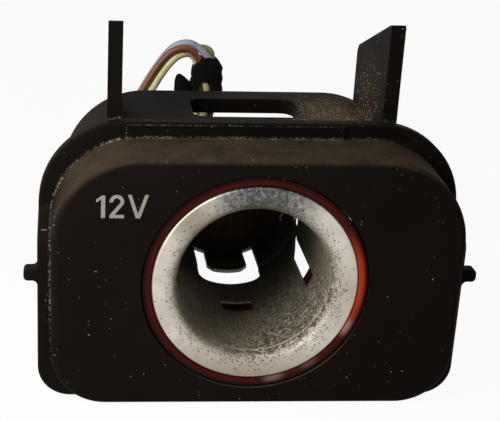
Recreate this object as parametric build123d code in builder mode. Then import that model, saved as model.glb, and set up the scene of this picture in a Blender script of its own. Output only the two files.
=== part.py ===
"""Car 12 V power socket in its console frame, with a lit ring, a lamp and its wire lead."""
import os
from math import atan2, hypot, radians, tan

from build123d import *

os.makedirs("parts", exist_ok=True)

# Millimetres. X runs right, Y runs into the socket and Z runs up. The origin lies on the
# bore axis, where the rounded mouth ends and the straight bore starts.

# Socket barrel, deep drawn from plated sheet
bore_radius = 10.5
barrel_wall = 0.5
mouth_radius = 1.8
rim_radius = 14.0
rim_edge = 0.35
barrel_length = 37.0
barrel_end_hole = 4.0
neck_radius = 10.1
neck_lead = 1.1
neck_slope = 0.5
latch_width = 4.6
latch_start = 12.3
latch_length = 3.0
tongue_window_width = 9.7
tongue_window_length = 11.5
tongue_root = 3.0
tongue_window_corner = 1.5
tongue_width = 6.4
tongue_gap = 4.5
tongue_tip_chamfer = 1.0
side_window_start = 8.8
side_window_root = 10.3
side_window_height = 11.0
side_window_nose = 5.6
side_window_tip = 2.4
side_tongue_gap = 1.3
side_tongue_height = 6.2
side_tongue_nose = 2.3
side_tongue_tip = 1.6
nose_shoulder = 0.7
vent_root = 3.9
vent_length = 2.2
vent_height = 8.4

# Front bezel, moulded
rim_recess = 0.2
bezel_x = 0.4
bezel_width = 55.7
bezel_top = 17.6
bezel_bottom = -18.0
bezel_depth = 9.2
bezel_face = 2.2
bezel_wall = 2.0
bezel_top_corner = 12.0
bezel_bottom_corner = 7.5
bezel_edge = 0.9
bezel_draft = 2.0
snap_width = 11.0
snap_thickness = 1.4
snap_hook = 1.3
snap_hook_length = 2.6
stake_radius = 1.0
stake_head_radius = 1.6
stake_head_height = 0.8
stake_x = 17.4
stake_z = 6.2

# Lit ring, moulded in clear red
ring_radius = 15.4
ring_recess = 0.3
ring_edge = 0.25
ring_tube_wall = 1.9
ring_tube_end = 13.3
ring_throat = 1.3
ring_ear_width = 38.0
ring_ear_height = 16.0
ring_ear_thickness = 2.0
ring_ear_corner = 3.0
ring_leg_width = 8.4
ring_leg_length = 4.0
lamp_x = -17.0
lamp_lug_width = 8.6
lamp_lug_end = 14.5
lamp_lug_floor = 7.2
lamp_lug_corner = 1.2
lamp_bore_radius = 3.3

# Carrier frame, moulded
flange_thickness = 1.9
flange_width = 58.7
flange_top = 20.0
flange_bottom = -18.2
flange_top_corner = 11.9
flange_bottom_corner = 4.5
flange_edge = 0.4
flange_step = 6.35
shelf_top = 7.9
shelf_bottom = 5.5
shelf_bend = 0.7
nub_z = 0.2
nub_length = 1.87
nub_height = 1.8
nub_tip = 0.6
nub_root = 0.7
pad_left = -17.4
pad_right = 12.4
pad_thickness = 0.3
sleeve_width = 52.4
sleeve_top = 18.4
sleeve_bottom = -17.3
sleeve_wall = 2.2
sleeve_length = 21.2
sleeve_top_corner = 12.6
sleeve_bottom_corner = 6.0
slot_x = 0.5
slot_width = 15.7
slot_start = 16.0
slot_length = 9.8
slot_corner = 2.0
catch_slot_length = 4.5
fin_spacing = 38.1
fin_thickness = 2.0
fin_length = 18.1
fin_taper = 0.6
fin_front_height = 33.5
fin_rear_height = 26.6
fin_front_corner = 0.4
fin_rear_corner = 1.8

# Base insulator and centre contact
insulator_thickness = 2.6
insulator_boss_radius = 5.7
insulator_boss_length = 4.4
contact_radius = 5.4
contact_thickness = 1.0
contact_dome = 0.4
shank_radius = 1.5
clinch_radius = 2.2
clinch_height = 0.8

# Terminal housing and terminals at the back
housing_width = 21.4
housing_height = 11.4
housing_z = -0.5
housing_wall = 1.2
housing_base = 2.2
housing_length = 15.0
housing_corner = 1.5
ramp_x = 5.0
ramp_width = 4.0
ramp_height = 1.2
ramp_length = 3.0
ramp_end_gap = 2.5
terminal_sheet = 0.8
blade_width = 6.3
blade_length = 10.0
blade_tip = 0.25
positive_ring_radius = 3.4
positive_blade_x = -4.9
positive_blade_z = -3.0
washer_radius = 2.6
washer_thickness = 0.5
ground_plate_inner = 4.5
ground_blade_x = 6.8
ground_rivet_radius = 0.6
ground_head_radius = 1.0
ground_head_height = 0.5

# Lamp and its holder
nose_depth = 2.5
holder_flange_radius = 4.3
holder_flange_thickness = 2.0
holder_body_radius = 4.0
holder_tail_start = 30.0
holder_tail_width = 7.0
holder_tail_height = 6.4
holder_tail_margin = 1.75
holder_boss_margin = 0.5
lamp_pocket_width = 3.2
lamp_pocket_height = 4.6
lamp_pocket_depth = 6.0
lamp_contact_thickness = 0.5
lamp_contact_height = 3.0
bulb_radius = 2.2
bulb_length = 4.0
bulb_base_width = 1.6
bulb_base_height = 4.0
bulb_base_length = 5.0

# Wires and cloth tape
wire_diameter = 1.2
wire_pitch = 1.25
pair_setback = 4.35
pair_spacing = 1.3
grommet_margin = 0.55
tape_bottom = 13.2
tape_top = 20.5
tape_thickness = 0.35
tape_slack = 0.45
flag_length = 2.3
flag_top = 18.4
flag_bottom = 14.0
flag_slope = 1.7
flag_corner = 0.5

# Clearances
running_clearance = 0.1
snap_clearance = 0.15
window_clearance = 0.2
tape_clearance = 0.06
cut_overshoot = 1.0

# The middle line of each pair of wires, as (x, z), from the back housing to the lamp holder
front_route = [
    (-4.0, 8.0), (-4.0, 11.8), (-3.8, 16.2), (-3.75, 20.2), (-4.95, 21.6), (-6.85, 22.2),
    (-8.75, 21.6), (-10.7, 19.05), (-12.65, 15.65), (-15.3, 11.0), (-15.3, 6.0),
]
rear_route = [
    (-2.5, 8.0), (-2.5, 11.8), (-2.3, 16.2), (-2.4, 20.2), (-3.65, 21.9), (-5.9, 23.0),
    (-8.3, 22.2), (-10.45, 19.3), (-12.55, 15.8), (-15.2, 11.0), (-15.2, 6.0),
]

# Places that follow from the sizes above
rim_front = -mouth_radius
bezel_front = rim_front - rim_recess
bezel_inside = bezel_front + bezel_face
flange_front = bezel_front + bezel_depth
flange_rear = flange_front + flange_thickness
lower_front = flange_front - flange_step
sleeve_rear = flange_rear + sleeve_length
fin_rear = flange_rear + fin_length
barrel_radius = bore_radius + barrel_wall
barrel_floor = barrel_length - barrel_wall
tongue_window_end = barrel_floor - tongue_root
tongue_window_start = tongue_window_end - tongue_window_length
neck_start = tongue_window_start + tongue_gap - neck_lead
side_window_end = barrel_floor - side_window_root
ring_front = bezel_front + ring_recess
ring_bore = barrel_radius + running_clearance
ring_tube_radius = ring_bore + ring_tube_wall
ear_rear = bezel_inside + ring_ear_thickness
housing_rear = barrel_length + housing_length
housing_top = housing_z + housing_height / 2
rivet_x = (ground_plate_inner + ground_blade_x) / 2
pair_half = (wire_pitch + wire_diameter) / 2
front_pair_y = barrel_length + pair_setback
rear_pair_y = front_pair_y + pair_spacing
lead_front = front_pair_y - wire_diameter / 2
lead_rear = rear_pair_y + wire_diameter / 2
holder_tail_end = lead_rear + holder_tail_margin


def at_depth(y):
    """Sketch plane across the socket axis; a negative extrusion runs deeper into the socket."""
    return Plane.XZ.offset(-y)


def corner_panel(width, top, bottom, top_corner, bottom_corner):
    """Panel outline with one corner radius at its top and another at its bottom."""
    with BuildSketch() as panel:
        with Locations((0, (top + bottom) / 2)):
            Rectangle(width, top - bottom)
        fillet(panel.vertices().group_by(Axis.Y)[-1], top_corner)
        fillet(panel.vertices().group_by(Axis.Y)[0], bottom_corner)
    return panel.sketch


def behind_flange(setback):
    """All that lies behind the flange's bent front face, set back by a distance, seen from the side."""
    bend = tan(atan2(flange_step, shelf_top - shelf_bottom) / 2)
    top = flange_top + cut_overshoot
    bottom = flange_bottom - cut_overshoot
    with BuildSketch() as region:
        with BuildLine():
            face = FilletPolyline(
                (flange_front + setback, top),
                (flange_front + setback, shelf_top - setback * bend),
                (lower_front + setback, shelf_bottom - setback * bend),
                (lower_front + setback, bottom),
                radius=[shelf_bend + setback, shelf_bend + flange_thickness - setback],
            )
            Polyline(face @ 1, (sleeve_rear, bottom), (sleeve_rear, top), face @ 0)
        make_face()
    return region.sketch


def nosed(start, end, height, nose, tip):
    """Outline seen from the side that runs straight and then narrows in two steps to its rear end."""
    shoulder_y = end - nose * (1 - nose_shoulder)
    shoulder_z = nose_shoulder * height / 2
    with BuildSketch() as outline:
        with BuildLine():
            Polyline(
                (start, 0), (start, height / 2), (end - nose, height / 2), (shoulder_y, shoulder_z),
                (end, tip / 2), (end, 0),
            )
            mirror(about=Plane.XZ)
        make_face()
    return outline.sketch


def cap_radius(rim, height):
    """Radius of the sphere that a round cap of this rim and height is part of."""
    return (rim**2 + height**2) / (2 * height)


# Socket barrel: bell mouth, straight wall, narrower neck and end wall as one turned section
with BuildPart() as socket_barrel:
    with BuildSketch(Plane.XY):
        with BuildLine():
            neck_front = neck_start + neck_slope
            neck_outside = neck_radius + barrel_wall
            mouth_centre = bore_radius + mouth_radius
            rim_rear = rim_front + barrel_wall
            Polyline(
                (bore_radius, 0), (bore_radius, neck_start), (neck_radius, neck_front),
                (neck_radius, barrel_floor), (barrel_end_hole, barrel_floor),
                (barrel_end_hole, barrel_length), (neck_outside, barrel_length),
                (neck_outside, neck_front), (barrel_radius, neck_start), (barrel_radius, 0),
            )
            CenterArc((mouth_centre, 0), -rim_rear, 180, 90)
            Polyline(
                (mouth_centre, rim_rear), (rim_radius, rim_rear), (rim_radius, rim_front),
                (mouth_centre, rim_front),
            )
            CenterArc((mouth_centre, 0), mouth_radius, 180, 90)
        make_face()
    revolve(axis=Axis.Y)
    fillet(socket_barrel.edges().group_by(Axis.Y)[0].sort_by(SortBy.LENGTH)[-1], rim_edge)
    # Latch windows, and spring tongues rooted at the back, in the top and bottom walls
    with BuildSketch(Plane.XY) as floor_cuts:
        with Locations((0, latch_start + latch_length / 2)):
            Rectangle(latch_width, latch_length)
        with BuildSketch(mode=Mode.PRIVATE) as window:
            with Locations((0, tongue_window_start + tongue_window_length / 2)):
                Rectangle(tongue_window_width, tongue_window_length)
            fillet(window.vertices().group_by(Axis.Y)[0], tongue_window_corner)
        with BuildSketch(mode=Mode.PRIVATE) as tongue:
            tongue_length = tongue_window_length - tongue_gap
            with Locations((0, tongue_window_end - tongue_length / 2)):
                Rectangle(tongue_width, tongue_length)
            chamfer(tongue.vertices().group_by(Axis.Y)[0], tongue_tip_chamfer)
        add(window.sketch - tongue.sketch)
    extrude(amount=barrel_radius + cut_overshoot, both=True, mode=Mode.SUBTRACT)
    # Pointed spring tongues rooted at the front, and vents near the end, in the side walls
    side_window = nosed(
        side_window_start, side_window_end, side_window_height, side_window_nose, side_window_tip
    )
    side_tongue = nosed(
        side_window_start, side_window_end - side_tongue_gap, side_tongue_height, side_tongue_nose,
        side_tongue_tip,
    )
    with BuildSketch(Plane.YZ):
        add(side_window - side_tongue)
        with Locations((barrel_floor - vent_root + vent_length / 2, 0)):
            Rectangle(vent_length, vent_height)
    extrude(amount=barrel_radius + cut_overshoot, both=True, mode=Mode.SUBTRACT)
    with BuildSketch(at_depth(barrel_floor)):
        with Locations((rivet_x, 0)):
            Circle(ground_rivet_radius)
    extrude(amount=-barrel_wall, mode=Mode.SUBTRACT)
socket_barrel.part.label = "socket_barrel"
export_step(socket_barrel.part, "parts/socket_barrel.step")

# Front bezel: drafted hollow box that sits on the bent flange, with a round opening, snap legs and
# staking pegs
bezel_grow = bezel_depth * tan(radians(bezel_draft))
bezel_rear_outline = corner_panel(
    bezel_width + 2 * bezel_grow, bezel_top + bezel_grow, bezel_bottom - bezel_grow,
    bezel_top_corner + bezel_grow, bezel_bottom_corner + bezel_grow,
)
bezel_front_outline = corner_panel(
    bezel_width, bezel_top, bezel_bottom, bezel_top_corner, bezel_bottom_corner
)
bezel_hollow = corner_panel(
    bezel_width - 2 * bezel_wall, bezel_top - bezel_wall, bezel_bottom + bezel_wall,
    bezel_top_corner - bezel_wall, bezel_bottom_corner - bezel_wall,
)
with BuildPart() as front_bezel:
    with BuildSketch(at_depth(flange_front)):
        with Locations((bezel_x, 0)):
            add(bezel_rear_outline)
    with BuildSketch(at_depth(bezel_front)):
        with Locations((bezel_x, 0)):
            add(bezel_front_outline)
    loft(ruled=True)
    front_edges = front_bezel.faces().sort_by(Axis.Y)[0].edges()
    fillet(front_edges, bezel_edge)
    with BuildSketch(Plane.YZ):
        add(behind_flange(-running_clearance))
    extrude(amount=bezel_width, both=True, mode=Mode.SUBTRACT)
    with BuildSketch(at_depth(flange_front)):
        with Locations((bezel_x, 0)):
            add(bezel_hollow)
    extrude(amount=bezel_depth - bezel_face, mode=Mode.SUBTRACT)
    with BuildSketch(at_depth(bezel_front)):
        Circle(ring_radius + running_clearance)
    extrude(amount=-bezel_face, mode=Mode.SUBTRACT)
    # Snap legs that hook into the frame's top slot and bottom slot
    catch = slot_start + snap_clearance
    hook_end = catch + snap_hook_length
    for wall, out in ((sleeve_top - sleeve_wall, 1), (sleeve_bottom + sleeve_wall, -1)):
        leg_face = wall - out * snap_clearance
        with BuildSketch(Plane.YZ):
            with BuildLine():
                Polyline(
                    (bezel_inside, leg_face), (catch, leg_face), (catch, leg_face + out * snap_hook),
                    (hook_end, leg_face), (hook_end, leg_face - out * snap_thickness),
                    (bezel_inside, leg_face - out * snap_thickness), close=True,
                )
            make_face()
        extrude(amount=snap_width / 2, both=True)
    with BuildSketch(at_depth(bezel_inside)):
        with GridLocations(2 * stake_x, 2 * stake_z, 2, 2):
            Circle(stake_radius)
    extrude(amount=-ring_ear_thickness)
    with BuildSketch(at_depth(ear_rear)):
        with GridLocations(2 * stake_x, 2 * stake_z, 2, 2):
            Circle(stake_head_radius)
    extrude(amount=-stake_head_height, taper=25)
front_bezel.part.label = "front_bezel"
export_step(front_bezel.part, "parts/front_bezel.step")

# Lit ring: turned ring and tube, with staked ears, latch legs and a lug that takes the lamp
with BuildPart() as light_ring:
    with BuildSketch(Plane.XY):
        with BuildLine():
            step = rim_front + barrel_wall
            ring_inner = rim_radius + running_clearance
            throat = ring_bore + ring_throat
            Polyline(
                (throat, step), (ring_inner, step), (ring_inner, ring_front), (ring_radius, ring_front),
                (ring_radius, bezel_inside), (ring_tube_radius, bezel_inside),
                (ring_tube_radius, ring_tube_end), (ring_bore, ring_tube_end),
                (ring_bore, step + ring_throat),
            )
            CenterArc((throat, step + ring_throat), ring_throat, 180, 90)
        make_face()
    revolve(axis=Axis.Y)
    ring_edges = light_ring.faces().filter_by(GeomType.PLANE).sort_by(Axis.Y)[0].edges()
    fillet(ring_edges, ring_edge)
    with BuildSketch(at_depth(bezel_inside)):
        RectangleRounded(ring_ear_width, ring_ear_height, ring_ear_corner)
        Circle(ring_bore + ring_tube_wall / 2, mode=Mode.SUBTRACT)
        with GridLocations(2 * stake_x, 2 * stake_z, 2, 2):
            Circle(stake_radius + running_clearance, mode=Mode.SUBTRACT)
    extrude(amount=-ring_ear_thickness)
    with BuildSketch(at_depth(ring_tube_end)):
        Circle(ring_tube_radius)
        Circle(ring_bore, mode=Mode.SUBTRACT)
        Rectangle(ring_leg_width, 3 * ring_tube_radius, mode=Mode.INTERSECT)
    extrude(amount=-ring_leg_length)
    with BuildSketch(at_depth(latch_start + window_clearance)):
        Circle(ring_bore + ring_tube_wall / 2)
        Circle(bore_radius + window_clearance, mode=Mode.SUBTRACT)
        latch_tab = latch_width - 2 * window_clearance
        Rectangle(latch_tab, 3 * ring_tube_radius, mode=Mode.INTERSECT)
    extrude(amount=2 * window_clearance - latch_length)
    with BuildSketch(at_depth(bezel_inside)):
        with Locations((lamp_x, 0)):
            RectangleRounded(lamp_lug_width, lamp_lug_width, lamp_lug_corner)
    extrude(amount=bezel_inside - lamp_lug_end)
    with BuildSketch(at_depth(lamp_lug_end)):
        with Locations((lamp_x, 0)):
            Circle(lamp_bore_radius)
    extrude(amount=lamp_lug_end - lamp_lug_floor, mode=Mode.SUBTRACT)
light_ring.part.label = "light_ring"
export_step(light_ring.part, "parts/light_ring.step")

# Carrier frame: flange bent forward below a shelf, open sleeve behind it and two fins on top
sleeve_outline = corner_panel(
    sleeve_width, sleeve_top, sleeve_bottom, sleeve_top_corner, sleeve_bottom_corner
)
sleeve_hollow = corner_panel(
    sleeve_width - 2 * sleeve_wall, sleeve_top - sleeve_wall, sleeve_bottom + sleeve_wall,
    sleeve_top_corner - sleeve_wall, sleeve_bottom_corner - sleeve_wall,
)
with BuildPart() as flange:
    with BuildSketch(Plane.YZ):
        add(behind_flange(0))
        add(behind_flange(flange_thickness), mode=Mode.SUBTRACT)
    extrude(amount=flange_width, both=True)
    with BuildSketch(at_depth(lower_front)):
        with BuildLine():
            half = flange_width / 2
            nub_x = half + nub_length
            nub_top = nub_z + nub_height / 2
            nub_bottom = nub_z - nub_height / 2
            FilletPolyline(
                (0, flange_top), (half, flange_top), (half, nub_top), (nub_x, nub_top),
                (nub_x, nub_bottom), (half, nub_bottom), (half, flange_bottom), (0, flange_bottom),
                radius=[flange_top_corner, nub_root, nub_tip, nub_tip, nub_root, flange_bottom_corner],
            )
            mirror(about=Plane.YZ)
        make_face()
    extrude(amount=lower_front - flange_rear, mode=Mode.INTERSECT)
    front_faces = flange.faces().filter_by(lambda face: face.normal_at().Y < -0.2)
    front_edges = front_faces.edges()
    rim_edges = front_edges.filter_by(lambda edge: len([e for e in front_edges if e == edge]) == 1)
    fillet(rim_edges, flange_edge)
with BuildPart() as sleeve:
    with BuildSketch(Plane.YZ):
        add(behind_flange(flange_thickness / 2))
    extrude(amount=sleeve_width, both=True)
    with BuildSketch(at_depth(lower_front)):
        add(sleeve_outline)
    extrude(amount=lower_front - sleeve_rear, mode=Mode.INTERSECT)
with BuildPart() as fin:
    with BuildSketch(Plane.XY):
        with BuildLine():
            fin_inner = (fin_spacing - fin_thickness) / 2
            fin_outer = fin_inner + fin_thickness
            Polyline(
                (fin_inner, flange_rear), (fin_outer, flange_rear), (fin_outer - fin_taper, fin_rear),
                (fin_inner, fin_rear), close=True,
            )
        make_face()
    extrude(amount=fin_front_height)
    with BuildSketch(Plane.YZ):
        with BuildLine():
            FilletPolyline(
                (flange_rear, 0), (flange_rear, fin_front_height), (fin_rear, fin_rear_height),
                (fin_rear, 0), radius=[fin_front_corner, fin_rear_corner],
            )
            Line((fin_rear, 0), (flange_rear, 0))
        make_face()
    extrude(amount=fin_outer, mode=Mode.INTERSECT)
with BuildPart() as carrier_frame:
    add(flange.part)
    add(sleeve.part)
    with BuildSketch(at_depth(flange_front)):
        pad_bottom = bezel_top + bezel_grow + running_clearance
        pad_top = flange_top - flange_edge
        with Locations(((pad_left + pad_right) / 2, (pad_bottom + pad_top) / 2)):
            Rectangle(pad_right - pad_left, pad_top - pad_bottom)
    extrude(amount=pad_thickness)
    add(fin.part)
    mirror(fin.part, about=Plane.YZ)
    with BuildSketch(at_depth(lower_front)):
        add(sleeve_hollow)
    extrude(amount=lower_front - sleeve_rear, mode=Mode.SUBTRACT)
    with BuildSketch(Plane.XY.offset(sleeve_top)):
        with Locations((slot_x, slot_start + slot_length / 2)):
            RectangleRounded(slot_width, slot_length, slot_corner)
    extrude(amount=-sleeve_wall, mode=Mode.SUBTRACT)
    with BuildSketch(Plane.XY.offset(sleeve_bottom)):
        with Locations((slot_x, slot_start + catch_slot_length / 2)):
            Rectangle(slot_width, catch_slot_length)
    extrude(amount=sleeve_wall, mode=Mode.SUBTRACT)
carrier_frame.part.label = "carrier_frame"
export_step(carrier_frame.part, "parts/carrier_frame.step")

# Base insulator: stepped moulding that keeps the centre contact off the barrel
insulator_front = barrel_floor - insulator_thickness
boss_front = insulator_front - insulator_boss_length
stack_rear = barrel_length + housing_base
with BuildPart() as base_insulator:
    with BuildSketch(Plane.XY):
        with BuildLine():
            Polyline(
                (shank_radius, boss_front), (insulator_boss_radius, boss_front),
                (insulator_boss_radius, insulator_front),
                (neck_radius - running_clearance, insulator_front),
                (neck_radius - running_clearance, barrel_floor),
                (barrel_end_hole - running_clearance, barrel_floor),
                (barrel_end_hole - running_clearance, stack_rear),
                (shank_radius, stack_rear), close=True,
            )
        make_face()
    revolve(axis=Axis.Y)
    with BuildSketch(at_depth(barrel_floor)):
        with Locations((rivet_x, 0)):
            Circle(ground_head_radius + window_clearance)
    extrude(amount=ground_head_height + window_clearance, mode=Mode.SUBTRACT)
base_insulator.part.label = "base_insulator"
export_step(base_insulator.part, "parts/base_insulator.step")

# Centre contact: headed stud whose tail is clinched over the positive terminal
contact_front = boss_front - contact_thickness
terminal_rear = stack_rear + terminal_sheet
clinch_front = terminal_rear + washer_thickness
with BuildPart() as centre_contact:
    with BuildSketch(Plane.XY):
        with BuildLine():
            RadiusArc(
                (0, contact_front - contact_dome), (contact_radius, contact_front),
                -cap_radius(contact_radius, contact_dome),
            )
            Polyline(
                (contact_radius, contact_front), (contact_radius, boss_front),
                (shank_radius, boss_front), (shank_radius, clinch_front),
                (clinch_radius, clinch_front),
            )
            RadiusArc(
                (clinch_radius, clinch_front), (0, clinch_front + clinch_height),
                -cap_radius(clinch_radius, clinch_height),
            )
            Line((0, clinch_front + clinch_height), (0, contact_front - contact_dome))
        make_face()
    revolve(axis=Axis.Y)
centre_contact.part.label = "centre_contact"
export_step(centre_contact.part, "parts/centre_contact.step")

# Positive terminal: ring under the clinch, with a flat blade folded back from its arm
blade_rear = stack_rear + blade_length
with BuildPart() as positive_terminal:
    with BuildSketch(at_depth(stack_rear)):
        Circle(positive_ring_radius)
        arm_left = positive_blade_x - blade_width / 2
        with Locations((arm_left / 2, positive_blade_z / 2)):
            Rectangle(-arm_left, -positive_blade_z)
        Circle(shank_radius, mode=Mode.SUBTRACT)
    extrude(amount=-terminal_sheet)
    with BuildSketch(Plane.XY.offset(positive_blade_z)) as blade:
        with Locations((positive_blade_x, (stack_rear + blade_rear) / 2)):
            Rectangle(blade_width, blade_length)
        chamfer(blade.vertices().group_by(Axis.Y)[-1], terminal_sheet)
    extrude(amount=terminal_sheet)
    chamfer(positive_terminal.faces().sort_by(Axis.Y)[-1].edges().filter_by(Axis.X), blade_tip)
positive_terminal.part.label = "positive_terminal"
export_step(positive_terminal.part, "parts/positive_terminal.step")

with BuildPart() as terminal_washer:
    with BuildSketch(at_depth(terminal_rear)):
        Circle(washer_radius)
        Circle(shank_radius, mode=Mode.SUBTRACT)
    extrude(amount=-washer_thickness)
terminal_washer.part.label = "terminal_washer"
export_step(terminal_washer.part, "parts/terminal_washer.step")

# Ground terminal: plate riveted to the barrel's end wall, with an upright blade
plate_rear = barrel_length + terminal_sheet
ground_outer = ground_blade_x + terminal_sheet
with BuildPart() as ground_terminal:
    with BuildSketch(at_depth(barrel_length)):
        with Locations(((ground_plate_inner + ground_outer) / 2, 0)):
            Rectangle(ground_outer - ground_plate_inner, blade_width)
        with Locations((rivet_x, 0)):
            Circle(ground_rivet_radius, mode=Mode.SUBTRACT)
    extrude(amount=-terminal_sheet)
    with BuildSketch(Plane.YZ.offset(ground_blade_x)) as upright:
        with Locations(((barrel_length + blade_rear) / 2, 0)):
            Rectangle(blade_rear - barrel_length, blade_width)
        chamfer(upright.vertices().group_by(Axis.X)[-1], terminal_sheet)
    extrude(amount=terminal_sheet)
    chamfer(ground_terminal.faces().sort_by(Axis.Y)[-1].edges().filter_by(Axis.Z), blade_tip)
ground_terminal.part.label = "ground_terminal"
export_step(ground_terminal.part, "parts/ground_terminal.step")

with BuildPart() as ground_rivet:
    with BuildSketch(at_depth(barrel_floor - ground_head_height)):
        with Locations((rivet_x, 0)):
            Circle(ground_head_radius)
    extrude(amount=-ground_head_height)
    with BuildSketch(at_depth(barrel_floor)):
        with Locations((rivet_x, 0)):
            Circle(ground_rivet_radius)
    extrude(amount=barrel_floor - plate_rear)
    with BuildSketch(at_depth(plate_rear)):
        with Locations((rivet_x, 0)):
            Circle(ground_head_radius)
    extrude(amount=-ground_head_height)
ground_rivet.part.label = "ground_rivet"
export_step(ground_rivet.part, "parts/ground_rivet.step")

# Terminal housing: shroud round the blades, clamped to the barrel by the centre contact
with BuildPart() as terminal_housing:
    with BuildSketch(at_depth(barrel_length)):
        with Locations((0, housing_z)):
            RectangleRounded(housing_width, housing_height, housing_corner)
    extrude(amount=-housing_length)
    with BuildSketch(at_depth(housing_rear)):
        with Locations((0, housing_z)):
            cavity_width = housing_width - 2 * housing_wall
            RectangleRounded(cavity_width, housing_height - 2 * housing_wall, housing_corner / 2)
    extrude(amount=housing_length - housing_base, mode=Mode.SUBTRACT)
    with BuildSketch(at_depth(barrel_length)):
        Circle(barrel_end_hole)
        with Locations(((ground_blade_x + ground_outer) / 2, 0)):
            Rectangle(terminal_sheet + 2 * running_clearance, blade_width + 2 * running_clearance)
    extrude(amount=-housing_base, mode=Mode.SUBTRACT)
    with BuildSketch(at_depth(barrel_length)):
        with Locations(((ground_plate_inner + ground_outer) / 2, 0)):
            plate_width = ground_outer - ground_plate_inner
            Rectangle(plate_width + 2 * running_clearance, blade_width + 2 * running_clearance)
    pocket_depth = terminal_sheet + ground_head_height + running_clearance
    extrude(amount=-pocket_depth, mode=Mode.SUBTRACT)
    ramp_rear = housing_rear - ramp_end_gap
    with BuildSketch(Plane.YZ.offset(ramp_x)):
        with BuildLine():
            Polyline(
                (ramp_rear, housing_top), (ramp_rear - ramp_length, housing_top + ramp_height),
                (ramp_rear - ramp_length, housing_top), close=True,
            )
        make_face()
    extrude(amount=ramp_width / 2, both=True)
terminal_housing.part.label = "terminal_housing"
export_step(terminal_housing.part, "parts/terminal_housing.step")

# Wire grommet: soft block on the housing that the wires leave upwards
grommet_top = front_route[0][1]
grommet_left = front_route[0][0] - pair_half - grommet_margin
grommet_right = rear_route[0][0] + pair_half + grommet_margin
grommet_depth = lead_rear - lead_front + 2 * grommet_margin
with BuildPart() as wire_grommet:
    with BuildSketch(Plane.XY.offset(housing_top)):
        with Locations(((grommet_left + grommet_right) / 2, (lead_front + lead_rear) / 2)):
            RectangleRounded(grommet_right - grommet_left, grommet_depth, grommet_margin)
    extrude(amount=grommet_top - housing_top)
wire_grommet.part.label = "wire_grommet"
export_step(wire_grommet.part, "parts/wire_grommet.step")

# Lamp holder: nose in the lug, round body, and a tail whose boss takes the wires
nose_front = lamp_lug_end - nose_depth
holder_flange_rear = lamp_lug_end + holder_flange_thickness
boss_left = front_route[-1][0] - pair_half - holder_boss_margin
boss_right = rear_route[-1][0] + pair_half + holder_boss_margin
with BuildPart() as lamp_holder:
    with BuildSketch(Plane.XY):
        with BuildLine():
            Polyline(
                (lamp_x, nose_front), (lamp_x + lamp_bore_radius - running_clearance, nose_front),
                (lamp_x + lamp_bore_radius - running_clearance, lamp_lug_end),
                (lamp_x + holder_flange_radius, lamp_lug_end),
                (lamp_x + holder_flange_radius, holder_flange_rear),
                (lamp_x + holder_body_radius, holder_flange_rear),
                (lamp_x + holder_body_radius, holder_tail_start + holder_body_radius),
                (lamp_x, holder_tail_start + holder_body_radius), close=True,
            )
        make_face()
    revolve(axis=Axis((lamp_x, 0, 0), (0, 1, 0)))
    with BuildSketch(at_depth(holder_tail_start)):
        with Locations((lamp_x, 0)):
            RectangleRounded(holder_tail_width, holder_tail_height, housing_corner)
    extrude(amount=holder_tail_start - holder_tail_end)
    with BuildSketch(Plane.XY):
        with Locations(((boss_left + boss_right) / 2, (lead_front + lead_rear) / 2)):
            boss_depth = lead_rear - lead_front + 2 * holder_boss_margin
            RectangleRounded(boss_right - boss_left, boss_depth, holder_boss_margin)
    extrude(amount=front_route[-1][1])
    with BuildSketch(at_depth(nose_front)):
        with Locations((lamp_x, 0)):
            Rectangle(lamp_pocket_width, lamp_pocket_height)
    extrude(amount=-lamp_pocket_depth, mode=Mode.SUBTRACT)
lamp_holder.part.label = "lamp_holder"
export_step(lamp_holder.part, "parts/lamp_holder.step")

# Lamp contacts: one spring strip on each side of the pocket
for side, name in ((-1, "lamp_contact_left"), (1, "lamp_contact_right")):
    with BuildPart() as lamp_contact:
        with BuildSketch(at_depth(nose_front + window_clearance)):
            with Locations((lamp_x + side * (lamp_pocket_width - lamp_contact_thickness) / 2, 0)):
                Rectangle(lamp_contact_thickness, lamp_contact_height)
        extrude(amount=window_clearance - lamp_pocket_depth)
    lamp_contact.part.label = name
    export_step(lamp_contact.part, f"parts/{name}.step")

# Lamp bulb: glass capsule on a flat wedge base
bulb_seat = nose_front - window_clearance
dome_centre = bulb_seat - bulb_length + bulb_radius
with BuildPart() as lamp_bulb:
    with BuildSketch(Plane.XY):
        with BuildLine():
            Line((lamp_x, bulb_seat), (lamp_x + bulb_radius, bulb_seat))
            Line((lamp_x + bulb_radius, bulb_seat), (lamp_x + bulb_radius, dome_centre))
            CenterArc((lamp_x, dome_centre), bulb_radius, -90, 90)
            Line((lamp_x, dome_centre - bulb_radius), (lamp_x, bulb_seat))
        make_face()
    revolve(axis=Axis((lamp_x, 0, 0), (0, 1, 0)))
    with BuildSketch(at_depth(bulb_seat)):
        with Locations((lamp_x, 0)):
            Rectangle(bulb_base_width, bulb_base_height)
    extrude(amount=-bulb_base_length)
lamp_bulb.part.label = "lamp_bulb"
export_step(lamp_bulb.part, "parts/lamp_bulb.step")


def beside(route, side, y):
    """Points of a wire that runs beside a route, offset outwards in the plane at depth y."""
    runs = list(zip(route, route[1:]))
    outward = []
    for (x0, z0), (x1, z1) in runs:
        length = hypot(x1 - x0, z1 - z0)
        outward.append(Vector((z1 - z0) / length, 0, (x0 - x1) / length))
    points = []
    for i, (x, z) in enumerate(route):
        before = outward[max(i - 1, 0)]
        after = outward[min(i, len(outward) - 1)]
        mitre = (before + after) * (1 / (1 + before.dot(after)))
        points.append(Vector(x, y, z) + mitre * side)
    return points


def bend_radii(points):
    """The largest arc that each corner of the wire's route has room for."""
    radii = []
    for a, b, c in zip(points, points[1:], points[2:]):
        half_turn = radians((b - a).get_angle(c - b)) / 2
        radii.append(0.45 * min((b - a).length, (c - b).length) / tan(half_turn))
    return radii


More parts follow.
